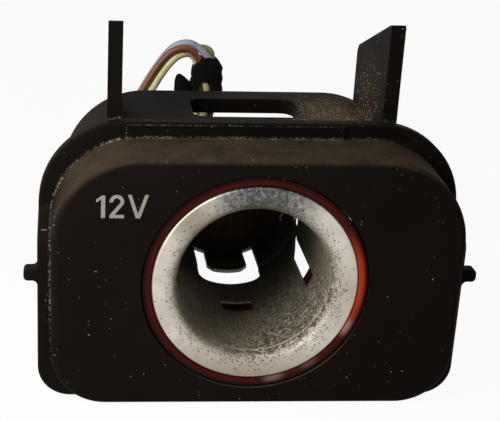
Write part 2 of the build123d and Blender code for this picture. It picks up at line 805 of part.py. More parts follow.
# Wires: two pairs side by side, from the grommet through the tape and over to the lamp holder
wires = (
    ("wire_brown", front_route, wire_pitch / 2, front_pair_y),
    ("wire_cream", front_route, -wire_pitch / 2, front_pair_y),
    ("wire_grey", rear_route, wire_pitch / 2, rear_pair_y),
    ("wire_green", rear_route, -wire_pitch / 2, rear_pair_y),
)
for name, route, side, y in wires:
    points = beside(route, side, y)
    radii = bend_radii(points)
    print(name, "bend radii", [round(r, 1) for r in radii])
    with BuildPart() as wire:
        with BuildLine():
            path = FilletPolyline(*points, radius=radii)
        with BuildSketch(Plane(origin=path @ 0, z_dir=path % 0)) as section:
            Circle(wire_diameter / 2)
        sweep()
    plain_volume = section.sketch.area * path.length
    print(name, "length", round(path.length, 1), "volume", round(wire.part.volume / plain_volume, 4))
    wire.part.label = name
    export_step(wire.part, f"parts/{name}.step")

# Cloth tape wound round the four wires, with its free end standing off to the left
tape_left = min(x for x, z in front_route[1:4]) - pair_half - tape_slack
tape_right = max(x for x, z in rear_route[1:4]) + pair_half + tape_slack
tape_inner_depth = lead_rear - lead_front + 2 * tape_clearance
with BuildPart() as tape_wrap:
    with BuildSketch(Plane.XY.offset(tape_bottom)):
        with Locations(((tape_left + tape_right) / 2, (lead_front + lead_rear) / 2)):
            RectangleRounded(
                tape_right - tape_left + 2 * tape_thickness, tape_inner_depth + 2 * tape_thickness,
                wire_diameter / 2 + tape_thickness,
            )
            RectangleRounded(
                tape_right - tape_left, tape_inner_depth, wire_diameter / 2, mode=Mode.SUBTRACT
            )
    extrude(amount=tape_top - tape_bottom)
    flag_right = tape_left - tape_thickness / 2
    flag_left = tape_left - tape_thickness - flag_length
    with BuildSketch(at_depth((lead_front + lead_rear) / 2)):
        with BuildLine():
            Polyline(
                (flag_right, flag_bottom), (flag_left, flag_bottom), (flag_left, flag_top - flag_corner),
                (flag_left + flag_corner, flag_top), (flag_right, flag_top - flag_slope), close=True,
            )
        make_face()
    extrude(amount=tape_thickness / 2, both=True)
tape_wrap.part.label = "tape_wrap"
export_step(tape_wrap.part, "parts/tape_wrap.step")
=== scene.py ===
"""Looks of the car 12 V power socket: plated barrel, lit ring, dusty mouldings, wires, tape and mark."""

import math

import bpy
from mathutils import Matrix, Vector, noise


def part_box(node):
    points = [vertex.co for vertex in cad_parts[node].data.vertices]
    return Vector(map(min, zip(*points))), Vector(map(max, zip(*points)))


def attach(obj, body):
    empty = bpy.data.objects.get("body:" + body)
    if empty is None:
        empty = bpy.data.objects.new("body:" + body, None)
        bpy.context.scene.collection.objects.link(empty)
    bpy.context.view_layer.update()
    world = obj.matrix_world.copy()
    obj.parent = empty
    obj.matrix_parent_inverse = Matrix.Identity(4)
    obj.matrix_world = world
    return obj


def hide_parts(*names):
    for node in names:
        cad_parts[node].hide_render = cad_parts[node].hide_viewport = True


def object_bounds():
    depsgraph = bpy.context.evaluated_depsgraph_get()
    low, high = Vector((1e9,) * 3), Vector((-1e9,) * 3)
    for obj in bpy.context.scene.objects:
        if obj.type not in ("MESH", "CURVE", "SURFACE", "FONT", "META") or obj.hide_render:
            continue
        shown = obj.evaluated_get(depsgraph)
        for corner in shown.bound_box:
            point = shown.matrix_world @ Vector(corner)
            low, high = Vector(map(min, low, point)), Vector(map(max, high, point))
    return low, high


bl_info = {
    "name": "Car Power Socket",
    "version": (1, 0, 0),
    "blender": (4, 5, 0),
    "location": "View3D > Sidebar > Power Socket",
    "description": "Finishes the packed car power socket and sets up its studio",
    "category": "Object",
}

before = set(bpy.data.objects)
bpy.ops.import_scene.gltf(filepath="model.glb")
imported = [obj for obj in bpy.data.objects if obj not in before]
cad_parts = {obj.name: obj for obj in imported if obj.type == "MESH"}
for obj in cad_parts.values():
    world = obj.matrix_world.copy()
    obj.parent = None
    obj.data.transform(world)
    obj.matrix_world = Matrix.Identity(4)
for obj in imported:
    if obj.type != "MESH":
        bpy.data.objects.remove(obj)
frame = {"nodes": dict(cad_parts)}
CAD_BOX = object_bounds()
NODES = frame["nodes"]
MM = 0.001


def linear(hex_colour):
    """Linear RGB of an sRGB hex value such as #c9c6c0."""
    values = [int(hex_colour[i : i + 2], 16) / 255 for i in (1, 3, 5)]
    return tuple(v / 12.92 if v <= 0.04045 else ((v + 0.055) / 1.055) ** 2.4 for v in values)


def colour(label, text, hex_colour):
    """A colour property with its default given as sRGB hex."""
    return bpy.props.FloatVectorProperty(
        name=label, description=text, subtype="COLOR", size=3, min=0.0, max=1.0, default=linear(hex_colour)
    )


class SocketFinish(bpy.types.PropertyGroup):
    """Colours of the mouldings and the metal."""

    bezel: colour("Bezel", "Black ABS of the front bezel", "#191412")
    frame: colour("Frame", "Black polyamide of the carrier frame", "#181411")
    dust: colour("Dust", "Film of settled dust", "#85725a")
    speck: colour("Specks", "Loose bits of lint and grit", "#d8cfc0")
    plate: colour("Plate", "Nickel plate of the barrel", "#d6cfc3")
    # Also paints the darker reflection on the right of the rim
    stain: colour("Stain", "Brown-grey stains on the plate", "#8d806b")
    soot: colour("Soot", "Film that plugs leave down the bore", "#72664f")
    # Also paints the shade deep in the bore
    pit: colour("Pits", "Corrosion pits round the mouth", "#2c261d")
    ring: colour("Ring", "Clear red of the light ring", "#4c0f0a")
    # Colour of the painted glow on the right of the light ring
    painted_ring_glow: colour("Ring glow", "Where the light ring gathers light", "#b53c18")
    mark: colour("Mark", "Printed voltage mark", "#a39b95")
    brass: colour("Brass", "Contacts and blades", "#b8934f")
    tarnish: colour("Tarnish", "Browned brass of the centre contact", "#35281c")
    insulator: colour("Insulator", "Dark phenolic of the base insulator", "#1c140e")
    rear: colour("Rear mouldings", "Black of the housings behind the barrel", "#141211")


class SocketLead(bpy.types.PropertyGroup):
    """Sizes and colours of the lamp's lead."""

    diameter: bpy.props.FloatProperty(
        name="Wire diameter", description="Outside diameter of each wire", default=1.2 * MM, min=0.0005,
        max=0.003, unit="LENGTH", precision=5,
    )
    brown: colour("Brown wire", "Sheath of the wire that runs outside and in front", "#714020")
    cream: colour("Cream wire", "Sheath of the wire that runs inside and in front", "#d6cc9c")
    grey: colour("Grey wire", "Sheath of the wire that runs outside and behind", "#9aa0ae")
    green: colour("Green wire", "Sheath of the wire that runs inside and behind", "#7d9460")
    tape: colour("Tape", "Black cloth tape", "#0d0d0e")


class SocketStudio(bpy.types.PropertyGroup):
    """Floor, light and camera."""

    floor: colour("Floor", "White paper under the socket", "#f4f3f0")
    floor_size: bpy.props.FloatProperty(
        name="Floor size", description="Side of the square floor", default=3.0, min=0.5, max=10.0, unit="LENGTH"
    )
    key_power: bpy.props.FloatProperty(
        name="Key light", description="Power of the soft light at the upper left", default=0.20, min=0.0,
        max=20.0, unit="POWER",
    )
    key_size: bpy.props.FloatProperty(
        name="Key size", description="Side of the soft light", default=0.08, min=0.01, max=2.0, unit="LENGTH"
    )
    fill: bpy.props.FloatProperty(
        name="Fill", description="Strength of the even light from all round", default=0.10, min=0.0, max=2.0
    )
    lens: bpy.props.FloatProperty(
        name="Lens", description="Focal length on a sensor 36 mm wide", default=84.334, min=20.0, max=300.0,
        unit="CAMERA",
    )


def add_node(tree, kind, settings):
    """Adds one shader node. A setting is an option, an input's value, or the node or socket that feeds it.
    Mix nodes take their colours at inputs 6 and 7 and the share of the second at input 0."""
    node = tree.nodes.new(kind)
    for key, value in settings.items():
        if isinstance(key, str) and key in node.bl_rna.properties:
            setattr(node, key, value)
            continue
        if isinstance(value, bpy.types.Node):
            value = next(socket for socket in value.outputs if socket.enabled)
        socket = node.inputs[key]
        if isinstance(value, bpy.types.NodeSocket):
            tree.links.new(value, socket)
        elif socket.type == "RGBA":
            socket.default_value = (*value, 1.0)
        else:
            socket.default_value = value
    return node


def new_material(name):
    """An empty node material, its tree, and the place on the surface in millimetres."""
    material = bpy.data.materials.new(name)
    material.use_nodes = True
    tree = material.node_tree
    tree.nodes.clear()
    coords = add_node(tree, "ShaderNodeTexCoord", {})
    place = add_node(
        tree, "ShaderNodeVectorMath", {"operation": "SCALE", 0: coords.outputs["Object"], "Scale": 1 / MM}
    )
    return material, tree, place


def set_surface(tree, settings):
    """Ends a material with its shader."""
    shader = add_node(tree, "ShaderNodeBsdfPrincipled", settings)
    add_node(tree, "ShaderNodeOutputMaterial", {"Surface": shader})


def specks(tree, place, spacing, radius, share):
    """Mask of round grains: their spacing and radius in millimetres, and the share of them kept."""
    cells = add_node(tree, "ShaderNodeTexVoronoi", {"Vector": place, "Scale": 1 / spacing})
    chance = add_node(tree, "ShaderNodeSeparateColor", {"Color": cells.outputs["Color"]})
    near = add_node(
        tree, "ShaderNodeMath", {"operation": "LESS_THAN", 0: cells.outputs["Distance"], 1: radius / spacing}
    )
    kept = add_node(tree, "ShaderNodeMath", {"operation": "LESS_THAN", 0: chance.outputs["Red"], 1: share})
    return add_node(tree, "ShaderNodeMath", {"operation": "MULTIPLY", 0: near, 1: kept})


def patches(tree, place, spots):
    """Mask of soft round patches, each given as its centre and reach in millimetres and its strength."""
    mask = None
    for centre, reach, strength in spots:
        away = add_node(tree, "ShaderNodeVectorMath", {"operation": "DISTANCE", 0: place, 1: centre})
        patch = add_node(
            tree, "ShaderNodeMapRange",
            {"interpolation_type": "SMOOTHSTEP", "Value": away, "From Min": reach, "From Max": reach * 0.2,
             "To Max": strength},
        )
        mask = patch if mask is None else add_node(
            tree, "ShaderNodeMath", {"operation": "MAXIMUM", 0: mask, 1: patch}
        )
    return mask


def dusty_moulding(name, base, film, heaps):
    """Moulded ABS or polyamide: near black, with a fine spark-eroded grain that kills the gloss, a film of
    dust on what faces up, heaps of grit in corners, pale dust in the seams, and loose specks and hairs."""
    finish = bpy.context.scene.socket_finish
    material, tree, place = new_material(name)
    drift = add_node(tree, "ShaderNodeTexNoise", {"Vector": place, "Scale": 1 / 14, "Detail": 3.0})
    body = add_node(
        tree, "ShaderNodeMix",
        {"data_type": "RGBA", 0: drift.outputs["Fac"], 6: [v * 0.6 for v in base], 7: [v * 1.4 for v in base]},
    )
    facing = add_node(tree, "ShaderNodeNewGeometry", {})
    way = add_node(tree, "ShaderNodeSeparateXYZ", {"Vector": facing.outputs["Normal"]})
    upward = add_node(
        tree, "ShaderNodeMapRange",
        {"interpolation_type": "SMOOTHSTEP", "Value": way.outputs["Z"], "From Min": 0.15, "From Max": 0.9,
         "To Max": film},
    )
    cloud = add_node(
        tree, "ShaderNodeTexNoise", {"Vector": place, "Scale": 1 / 3.5, "Detail": 5.0, "Roughness": 0.65}
    )
    uneven = add_node(
        tree, "ShaderNodeMapRange",
        {"Value": cloud.outputs["Fac"], "From Min": 0.3, "From Max": 0.7, "To Min": 0.4},
    )
    # The heaps' edges are frayed by up to half of this, in millimetres
    fray = 9.0
    ragged = add_node(
        tree, "ShaderNodeVectorMath",
        {"operation": "MULTIPLY_ADD", 0: cloud.outputs["Color"], 1: (fray, fray, fray), 2: place},
    )
    ragged = add_node(
        tree, "ShaderNodeVectorMath", {"operation": "SUBTRACT", 0: ragged, 1: (fray / 2, fray / 2, fray / 2)}
    )
    # Grit lies on what faces up, and a little of it clings to the fin's inner side
    rest = add_node(
        tree, "ShaderNodeVectorMath",
        {"operation": "DOT_PRODUCT", 0: facing.outputs["Normal"], 1: (-0.22, 0.0, 1.0)},
    )
    rest = add_node(tree, "ShaderNodeMapRange", {"Value": rest})
    heap = patches(tree, ragged, heaps)
    heap = add_node(tree, "ShaderNodeMath", {"operation": "MULTIPLY", 0: heap, 1: rest})
    thick = add_node(tree, "ShaderNodeMath", {"operation": "MAXIMUM", 0: upward, 1: heap})
    settled = add_node(tree, "ShaderNodeMath", {"operation": "MULTIPLY", 0: thick, 1: uneven})
    # Dust stays in the seams at the top and on the left, which face the light and the hand
    hidden = add_node(tree, "ShaderNodeAmbientOcclusion", {"samples": 8, "Distance": 0.9 * MM})
    corner = add_node(
        tree, "ShaderNodeMapRange", {"Value": hidden.outputs["AO"], "From Min": 0.74, "From Max": 0.44}
    )
    grit = add_node(
        tree, "ShaderNodeTexNoise", {"Vector": place, "Scale": 1 / 0.35, "Detail": 2.0, "Roughness": 0.7}
    )
    crumbs = add_node(
        tree, "ShaderNodeMapRange", {"Value": grit.outputs["Fac"], "From Min": 0.46, "From Max": 0.62}
    )
    lean = add_node(tree, "ShaderNodeVectorMath", {"operation": "DOT_PRODUCT", 0: place, 1: (-0.6, 0.0, 1.0)})
    upper_left = add_node(tree, "ShaderNodeMapRange", {"Value": lean, "From Min": 2.0, "From Max": 14.0})
    broken = add_node(
        tree, "ShaderNodeMapRange",
        {"Value": cloud.outputs["Fac"], "From Min": 0.4, "From Max": 0.56, "To Min": 0.25, "To Max": 1.3},
    )
    lodged = add_node(tree, "ShaderNodeMath", {"operation": "MULTIPLY", 0: corner, 1: crumbs})
    lodged = add_node(tree, "ShaderNodeMath", {"operation": "MULTIPLY", 0: lodged, 1: broken})
    lodged = add_node(tree, "ShaderNodeMath", {"operation": "MULTIPLY", 0: lodged, 1: upper_left})
    # Loose bits: fine grains, lint, heaped grit, and hairs that are grains stretched along one way
    fine = specks(tree, place, 0.7, 0.07, 0.22)
    bits = specks(tree, place, 1.5, 0.08, 0.22)
    heaped = specks(tree, place, 0.36, 0.10, heap)
    stretched = add_node(
        tree, "ShaderNodeMapping", {"Vector": place, "Rotation": (0.5, 0.62, 0.9), "Scale": (0.14, 1.0, 1.0)}
    )
    hairs = specks(tree, stretched, 0.9, 0.06, 0.05)
    loose = add_node(tree, "ShaderNodeMath", {"operation": "MAXIMUM", 0: bits, 1: heaped})
    loose = add_node(tree, "ShaderNodeMath", {"operation": "MAXIMUM", 0: loose, 1: hairs})
    loose = add_node(tree, "ShaderNodeMath", {"operation": "MULTIPLY_ADD", 0: fine, 1: 0.35, 2: loose})
    loose = add_node(tree, "ShaderNodeMath", {"operation": "MAXIMUM", 0: loose, 1: lodged})
    pale = add_node(tree, "ShaderNodeMath", {"operation": "MULTIPLY", "use_clamp": True, 0: loose, 1: 0.62})
    skin = add_node(tree, "ShaderNodeMix", {"data_type": "RGBA", 0: settled, 6: body, 7: finish.dust})
    skin = add_node(tree, "ShaderNodeMix", {"data_type": "RGBA", 0: pale, 6: skin, 7: finish.speck})
    dull = add_node(
        tree, "ShaderNodeMapRange", {"Value": settled, "From Max": 0.5, "To Min": 0.55, "To Max": 0.9}
    )
    # The real grain is finer than the render shows, so it is drawn 0.22 mm wide
    grain = add_node(
        tree, "ShaderNodeTexNoise", {"Vector": place, "Scale": 1 / 0.22, "Detail": 2.0, "Roughness": 0.6}
    )
    bump = add_node(
        tree, "ShaderNodeBump", {"Strength": 0.25, "Distance": 0.03 * MM, "Height": grain.outputs["Fac"]}
    )
    set_surface(
        tree, {"Base Color": skin, "Roughness": dull, "IOR": 1.5, "Specular IOR Level": 0.012, "Normal": bump}
    )
    return material


def nickel_plate():
    """Nickel-plated steel, drawn and tumbled: satin pale metal on the rim, with stains and pits where plugs
    scrape the mouth, and dulled by a brown film of soot down the bore. Painted reflections darken the top and
    the right of the rim, painted shade darkens the bore with depth, and a painted highlight lines the mouth low
    on the right."""
    finish = bpy.context.scene.socket_finish
    material, tree, place = new_material("nickel_plated_steel")
    axes = add_node(tree, "ShaderNodeSeparateXYZ", {"Vector": place})
    cloud = add_node(
        tree, "ShaderNodeTexNoise", {"Vector": place, "Scale": 1 / 2.2, "Detail": 5.0, "Roughness": 0.6}
    )
    mottle = add_node(
        tree, "ShaderNodeTexNoise", {"Vector": place, "Scale": 1 / 0.5, "Detail": 4.0, "Roughness": 0.7}
    )
    blotch = add_node(
        tree, "ShaderNodeMapRange", {"Value": cloud.outputs["Fac"], "From Min": 0.35, "From Max": 0.7}
    )
    skin = add_node(
        tree, "ShaderNodeMix",
        {"data_type": "RGBA", 0: blotch, 6: finish.plate, 7: [v * 0.8 for v in finish.plate]},
    )
    # Brown-grey stain along the bottom of the rim, where it is pitted; on the right the same colour is a
    # painted darker reflection; a darker patch also sits at the upper left
    low = add_node(
        tree, "ShaderNodeMapRange",
        {"Value": axes.outputs["Z"], "From Min": -8.0, "From Max": -13.5, "To Max": 0.75},
    )
    aside = patches(tree, place, (((13.5, -2.0, -2.0), 9.0, 0.35), ((-9.0, -2.0, 9.5), 4.5, 0.7)))
    stain_and_reflection = add_node(tree, "ShaderNodeMath", {"operation": "MAXIMUM", 0: low, 1: aside})
    skin = add_node(tree, "ShaderNodeMix", {"data_type": "RGBA", 0: stain_and_reflection, 6: skin, 7: finish.stain})
    # Painted reflection: the top of the rim is darkened towards dark steel grey, as if it mirrored the dark
    # above, with crumbs of the pale plate left by the mottle
    painted_dark_reflection = patches(tree, place, (((0.8, -1.5, 13.0), 11.0, 1.5),))
    painted_dark_reflection = add_node(tree, "ShaderNodeMath", {"operation": "MULTIPLY", 0: painted_dark_reflection, 1: mottle.outputs["Fac"]})
    painted_dark_reflection = add_node(
        tree, "ShaderNodeMapRange", {"Value": painted_dark_reflection, "From Min": 0.12, "From Max": 0.75, "To Max": 0.95}
    )
    skin = add_node(tree, "ShaderNodeMix", {"data_type": "RGBA", 0: painted_dark_reflection, 6: skin, 7: linear("#46484a")})
    # Soot from the lip inwards, in streaks where plugs slide; further down, painted shade darkens the bore
    along = add_node(tree, "ShaderNodeMapping", {"Vector": place, "Scale": (1.0, 0.08, 1.0)})
    streak = add_node(
        tree, "ShaderNodeTexNoise", {"Vector": along, "Scale": 1 / 0.8, "Detail": 4.0, "Roughness": 0.6}
    )
    depth = add_node(
        tree, "ShaderNodeMapRange",
        {"interpolation_type": "SMOOTHSTEP", "Value": axes.outputs["Y"], "From Min": -2.05, "From Max": -0.6},
    )
    film = add_node(
        tree, "ShaderNodeMapRange",
        {"Value": streak.outputs["Fac"], "From Min": 0.3, "From Max": 0.7, "To Min": 0.75, "To Max": 1.0},
    )
    film = add_node(tree, "ShaderNodeMath", {"operation": "MULTIPLY", 0: film, 1: depth})
    # Only the walls that face the axis are sooty
    facing = add_node(tree, "ShaderNodeNewGeometry", {})
    flat = add_node(tree, "ShaderNodeVectorMath", {"operation": "MULTIPLY", 0: place, 1: (1.0, 0.0, 1.0)})
    outward = add_node(
        tree, "ShaderNodeVectorMath", {"operation": "DOT_PRODUCT", 0: facing.outputs["Normal"], 1: flat}
    )
    inside = add_node(tree, "ShaderNodeMath", {"operation": "LESS_THAN", 0: outward, 1: -0.5})
    film = add_node(tree, "ShaderNodeMath", {"operation": "MULTIPLY", 0: film, 1: inside})
    skin = add_node(tree, "ShaderNodeMix", {"data_type": "RGBA", 0: film, 6: skin, 7: finish.soot})
    # Painted shade: the walls that face the axis darken towards the pit colour with depth down the bore
    black = add_node(
        tree, "ShaderNodeMapRange",
        {"Value": axes.outputs["Y"], "From Min": 10.0, "From Max": 25.0, "To Max": 0.85},
    )
    black = add_node(tree, "ShaderNodeMath", {"operation": "MULTIPLY", 0: black, 1: inside})
    skin = add_node(tree, "ShaderNodeMix", {"data_type": "RGBA", 0: black, 6: skin, 7: finish.pit})
    # Pits crowd round the lip, with pale crumbs and rust down the lower right of the bore
    radius = add_node(tree, "ShaderNodeVectorMath", {"operation": "LENGTH", 0: flat})
    lip = add_node(tree, "ShaderNodeMapRange", {"Value": radius, "From Min": 13.3, "From Max": 11.5})
    lean = add_node(tree, "ShaderNodeVectorMath", {"operation": "DOT_PRODUCT", 0: place, 1: (1.0, -0.7, -1.0)})
    low_right = add_node(
        tree, "ShaderNodeMapRange",
        {"Value": lean, "From Min": -6.0, "From Max": 13.0, "To Min": 0.5, "To Max": 1.1},
    )
    crowd = add_node(
        tree, "ShaderNodeMapRange",
        {"Value": cloud.outputs["Fac"], "From Min": 0.38, "From Max": 0.6, "To Min": 0.3, "To Max": 1.0},
    )
    crowd = add_node(tree, "ShaderNodeMath", {"operation": "MULTIPLY", 0: crowd, 1: low_right})
    share = add_node(tree, "ShaderNodeMath", {"operation": "MULTIPLY_ADD", 0: lip, 1: crowd, 2: 0.02})
    pits = specks(tree, place, 0.3, 0.11, share)
    # This lower-right mask places the pale flakes and the rust, and also the painted highlight line below
    lower_right_flakes_and_highlight = add_node(
        tree, "ShaderNodeMapRange", {"Value": lean, "From Min": 2.0, "From Max": 12.0, "To Max": 0.9}
    )
    lower_right_flakes_and_highlight = add_node(tree, "ShaderNodeMath", {"operation": "MULTIPLY", 0: lower_right_flakes_and_highlight, 1: film})
    coarse = add_node(tree, "ShaderNodeTexNoise", {"Vector": place, "Scale": 1 / 1.1, "Detail": 3.0})
    patchy = add_node(
        tree, "ShaderNodeMapRange",
        {"Value": coarse.outputs["Fac"], "From Min": 0.42, "From Max": 0.6, "To Min": 0.15},
    )
    flakes = add_node(
        tree, "ShaderNodeMapRange", {"Value": mottle.outputs["Fac"], "From Min": 0.49, "From Max": 0.56}
    )
    flakes = add_node(tree, "ShaderNodeMath", {"operation": "MULTIPLY", 0: flakes, 1: patchy})
    pale = add_node(tree, "ShaderNodeMath", {"operation": "MULTIPLY", 0: lower_right_flakes_and_highlight, 1: flakes})
    skin = add_node(tree, "ShaderNodeMix", {"data_type": "RGBA", 0: pale, 6: skin, 7: finish.plate})
    rust = add_node(
        tree, "ShaderNodeMapRange", {"Value": mottle.outputs["Fac"], "From Min": 0.49, "From Max": 0.43}
    )
    brown = add_node(tree, "ShaderNodeMath", {"operation": "MULTIPLY", 0: lower_right_flakes_and_highlight, 1: rust})
    skin = add_node(tree, "ShaderNodeMix", {"data_type": "RGBA", 0: brown, 6: skin, 7: finish.pit})
    # A painted highlight: a bright line where the mouth meets the straight bore, low on the right
    edge = add_node(
        tree, "ShaderNodeMath", {"operation": "COMPARE", 0: axes.outputs["Y"], 1: -0.1, 2: 0.12}
    )
    painted_highlight_line = add_node(tree, "ShaderNodeMath", {"operation": "MULTIPLY", 0: edge, 1: lower_right_flakes_and_highlight})
    skin = add_node(tree, "ShaderNodeMix", {"data_type": "RGBA", 0: painted_highlight_line, 6: skin, 7: finish.plate})
    dark = add_node(tree, "ShaderNodeMath", {"operation": "MULTIPLY", 0: pits, 1: 0.8})
    skin = add_node(tree, "ShaderNodeMix", {"data_type": "RGBA", 0: dark, 6: skin, 7: finish.pit})
    rough = add_node(tree, "ShaderNodeMapRange", {"Value": film, "To Min": 0.5, "To Max": 0.75})
    metal = add_node(tree, "ShaderNodeMapRange", {"Value": film, "To Min": 1.0, "To Max": 0.35})
    height = add_node(tree, "ShaderNodeMath", {"operation": "SUBTRACT", 0: mottle.outputs["Fac"], 1: pits})
    bump = add_node(tree, "ShaderNodeBump", {"Strength": 0.3, "Distance": 0.04 * MM, "Height": height})
    set_surface(tree, {"Base Color": skin, "Metallic": metal, "Roughness": rough, "Normal": bump})
    return material


def clear_red_polycarbonate():
    """Polycarbonate moulded clear red: deep red towards its inner edge, with a painted orange glow on the right
    where it would gather light, painted shade on its outer edge, and three soft painted highlights low on the
    right."""
    finish = bpy.context.scene.socket_finish
    material, tree, place = new_material("clear_red_polycarbonate")
    cloud = add_node(tree, "ShaderNodeTexNoise", {"Vector": place, "Scale": 1 / 5, "Detail": 2.0})
    deep = add_node(
        tree, "ShaderNodeMix",
        {"data_type": "RGBA", 0: cloud.outputs["Fac"], 6: [v * 0.5 for v in finish.ring], 7: finish.ring},
    )
    # Painted glow: orange on the right of the ring, where light carried round it would show
    glow = patches(tree, place, (((15.2, -2.5, 0.0), 10.0, 1.0),))
    lit = add_node(tree, "ShaderNodeMix", {"data_type": "RGBA", 0: glow, 6: deep, 7: finish.painted_ring_glow})
    # Painted highlights: three soft pale pink patches low on the right, where something bright would reflect
    painted_glints = patches(
        tree, place,
        (((12.8, -2.0, -6.2), 1.9, 0.4), ((8.1, -2.0, -11.7), 1.8, 0.12), ((3.3, -2.0, -14.0), 2.0, 0.25)),
    )
    lit = add_node(tree, "ShaderNodeMix", {"data_type": "RGBA", 0: painted_glints, 6: lit, 7: linear("#d9b4a8")})
    flat = add_node(tree, "ShaderNodeVectorMath", {"operation": "MULTIPLY", 0: place, 1: (1.0, 0.0, 1.0)})
    radius = add_node(tree, "ShaderNodeVectorMath", {"operation": "LENGTH", 0: flat})
    # Painted shade: the ring darkens to near black at its outer edge, where it meets the bezel
    outer = add_node(
        tree, "ShaderNodeMapRange",
        {"interpolation_type": "SMOOTHSTEP", "Value": radius, "From Min": 14.55, "From Max": 15.1,
         "To Max": 0.92},
    )
    lit = add_node(tree, "ShaderNodeMix", {"data_type": "RGBA", 0: outer, 6: lit, 7: linear("#150605")})
    scuff = add_node(tree, "ShaderNodeTexNoise", {"Vector": place, "Scale": 1 / 0.8, "Detail": 3.0})
    dull = add_node(
        tree, "ShaderNodeMapRange", {"Value": scuff.outputs["Fac"], "To Min": 0.22, "To Max": 0.38}
    )
    bump = add_node(
        tree, "ShaderNodeBump", {"Strength": 0.08, "Distance": 0.05 * MM, "Height": scuff.outputs["Fac"]}
    )
    set_surface(
        tree, {"Base Color": lit, "Roughness": dull, "IOR": 1.58, "Specular IOR Level": 0.06, "Normal": bump}
    )
    return material


def plain_moulding(name, base, rough, gloss):
    """Plain moulded plastic or rubber: one colour that drifts a little, with a fine dull grain."""
    material, tree, place = new_material(name)
    drift = add_node(tree, "ShaderNodeTexNoise", {"Vector": place, "Scale": 1 / 4, "Detail": 4.0})
    skin = add_node(
        tree, "ShaderNodeMix",
        {"data_type": "RGBA", 0: drift.outputs["Fac"], 6: [v * 0.6 for v in base], 7: [v * 1.4 for v in base]},
    )
    dull = add_node(
        tree, "ShaderNodeMapRange",
        {"Value": drift.outputs["Fac"], "To Min": rough - 0.1, "To Max": rough + 0.1},
    )
    grain = add_node(tree, "ShaderNodeTexNoise", {"Vector": place, "Scale": 1 / 0.3, "Detail": 2.0})
    bump = add_node(
        tree, "ShaderNodeBump", {"Strength": 0.2, "Distance": 0.03 * MM, "Height": grain.outputs["Fac"]}
    )
    set_surface(tree, {"Base Color": skin, "Roughness": dull, "Specular IOR Level": gloss, "Normal": bump})
    return material


def stamped_brass(name, base, rough):
    """Stamped brass: warm metal, dulled in clouds by handling and heat."""
    material, tree, place = new_material(name)
    cloud = add_node(
        tree, "ShaderNodeTexNoise", {"Vector": place, "Scale": 1 / 1.5, "Detail": 5.0, "Roughness": 0.65}
    )
    stain = add_node(
        tree, "ShaderNodeMapRange", {"Value": cloud.outputs["Fac"], "From Min": 0.42, "From Max": 0.7}
    )
    skin = add_node(
        tree, "ShaderNodeMix", {"data_type": "RGBA", 0: stain, 6: base, 7: [v * 0.4 for v in base]}
    )
    dull = add_node(
        tree, "ShaderNodeMapRange", {"Value": stain, "To Min": rough - 0.06, "To Max": rough + 0.14}
    )
    set_surface(tree, {"Base Color": skin, "Metallic": 1.0, "Roughness": dull})
    return material


def bulb_glass():
    """Clear soda glass of the lamp: colourless, smooth, a little smoked."""
    material, tree, place = new_material("soda_glass")
    smoke = add_node(tree, "ShaderNodeTexNoise", {"Vector": place, "Scale": 1 / 2, "Detail": 3.0})
    tint = add_node(
        tree, "ShaderNodeMix",
        {"data_type": "RGBA", 0: smoke.outputs["Fac"], 6: linear("#f6f4ee"), 7: linear("#d0c8b8")},
    )
    set_surface(tree, {"Base Color": tint, "Roughness": 0.03, "IOR": 1.52, "Transmission Weight": 1.0})
    return material


def pvc_sheath(name, base):
    """Soft PVC sheath: smooth and slightly waxy, with faint grime along it."""
    material, tree, place = new_material(name)
    grime = add_node(
        tree, "ShaderNodeTexNoise", {"Vector": place, "Scale": 1 / 1.6, "Detail": 4.0, "Roughness": 0.6}
    )
    soiled = add_node(
        tree, "ShaderNodeMapRange", {"Value": grime.outputs["Fac"], "From Min": 0.45, "From Max": 0.75}
    )
    skin = add_node(
        tree, "ShaderNodeMix", {"data_type": "RGBA", 0: soiled, 6: base, 7: [v * 0.6 for v in base]}
    )
    set_surface(tree, {"Base Color": skin, "Roughness": 0.42, "IOR": 1.53, "Specular IOR Level": 0.4})
    return material


def woven_tape():
    """Black cotton tape: a plain weave of 0.4 mm threads, dead matte, with a few pale fibres."""
    lead = bpy.context.scene.socket_lead
    material, tree, place = new_material("black_cotton_tape")
    # A wave texture of scale 1 repeats every 0.314 units
    thread = 0.314 / 0.4
    warp = add_node(
        tree, "ShaderNodeTexWave",
        {"bands_direction": "Z", "Vector": place, "Scale": thread, "Distortion": 0.6},
    )
    weft = add_node(
        tree, "ShaderNodeTexWave",
        {"bands_direction": "X", "Vector": place, "Scale": thread, "Distortion": 0.6},
    )
    weave = add_node(
        tree, "ShaderNodeMath", {"operation": "MAXIMUM", 0: warp.outputs["Fac"], 1: weft.outputs["Fac"]}
    )
    cloth = add_node(
        tree, "ShaderNodeMix",
        {"data_type": "RGBA", 0: weave, 6: [v * 0.6 for v in lead.tape], 7: [v * 1.5 for v in lead.tape]},
    )
    lint = specks(tree, place, 0.7, 0.07, 0.06)
    faint = add_node(tree, "ShaderNodeMath", {"operation": "MULTIPLY", 0: lint, 1: 0.25})
    skin = add_node(tree, "ShaderNodeMix", {"data_type": "RGBA", 0: faint, 6: cloth, 7: linear("#7f7a72")})
    bump = add_node(tree, "ShaderNodeBump", {"Strength": 0.5, "Distance": 0.08 * MM, "Height": weave})
    set_surface(tree, {"Base Color": skin, "Roughness": 0.92, "Specular IOR Level": 0.1, "Normal": bump})
    return material


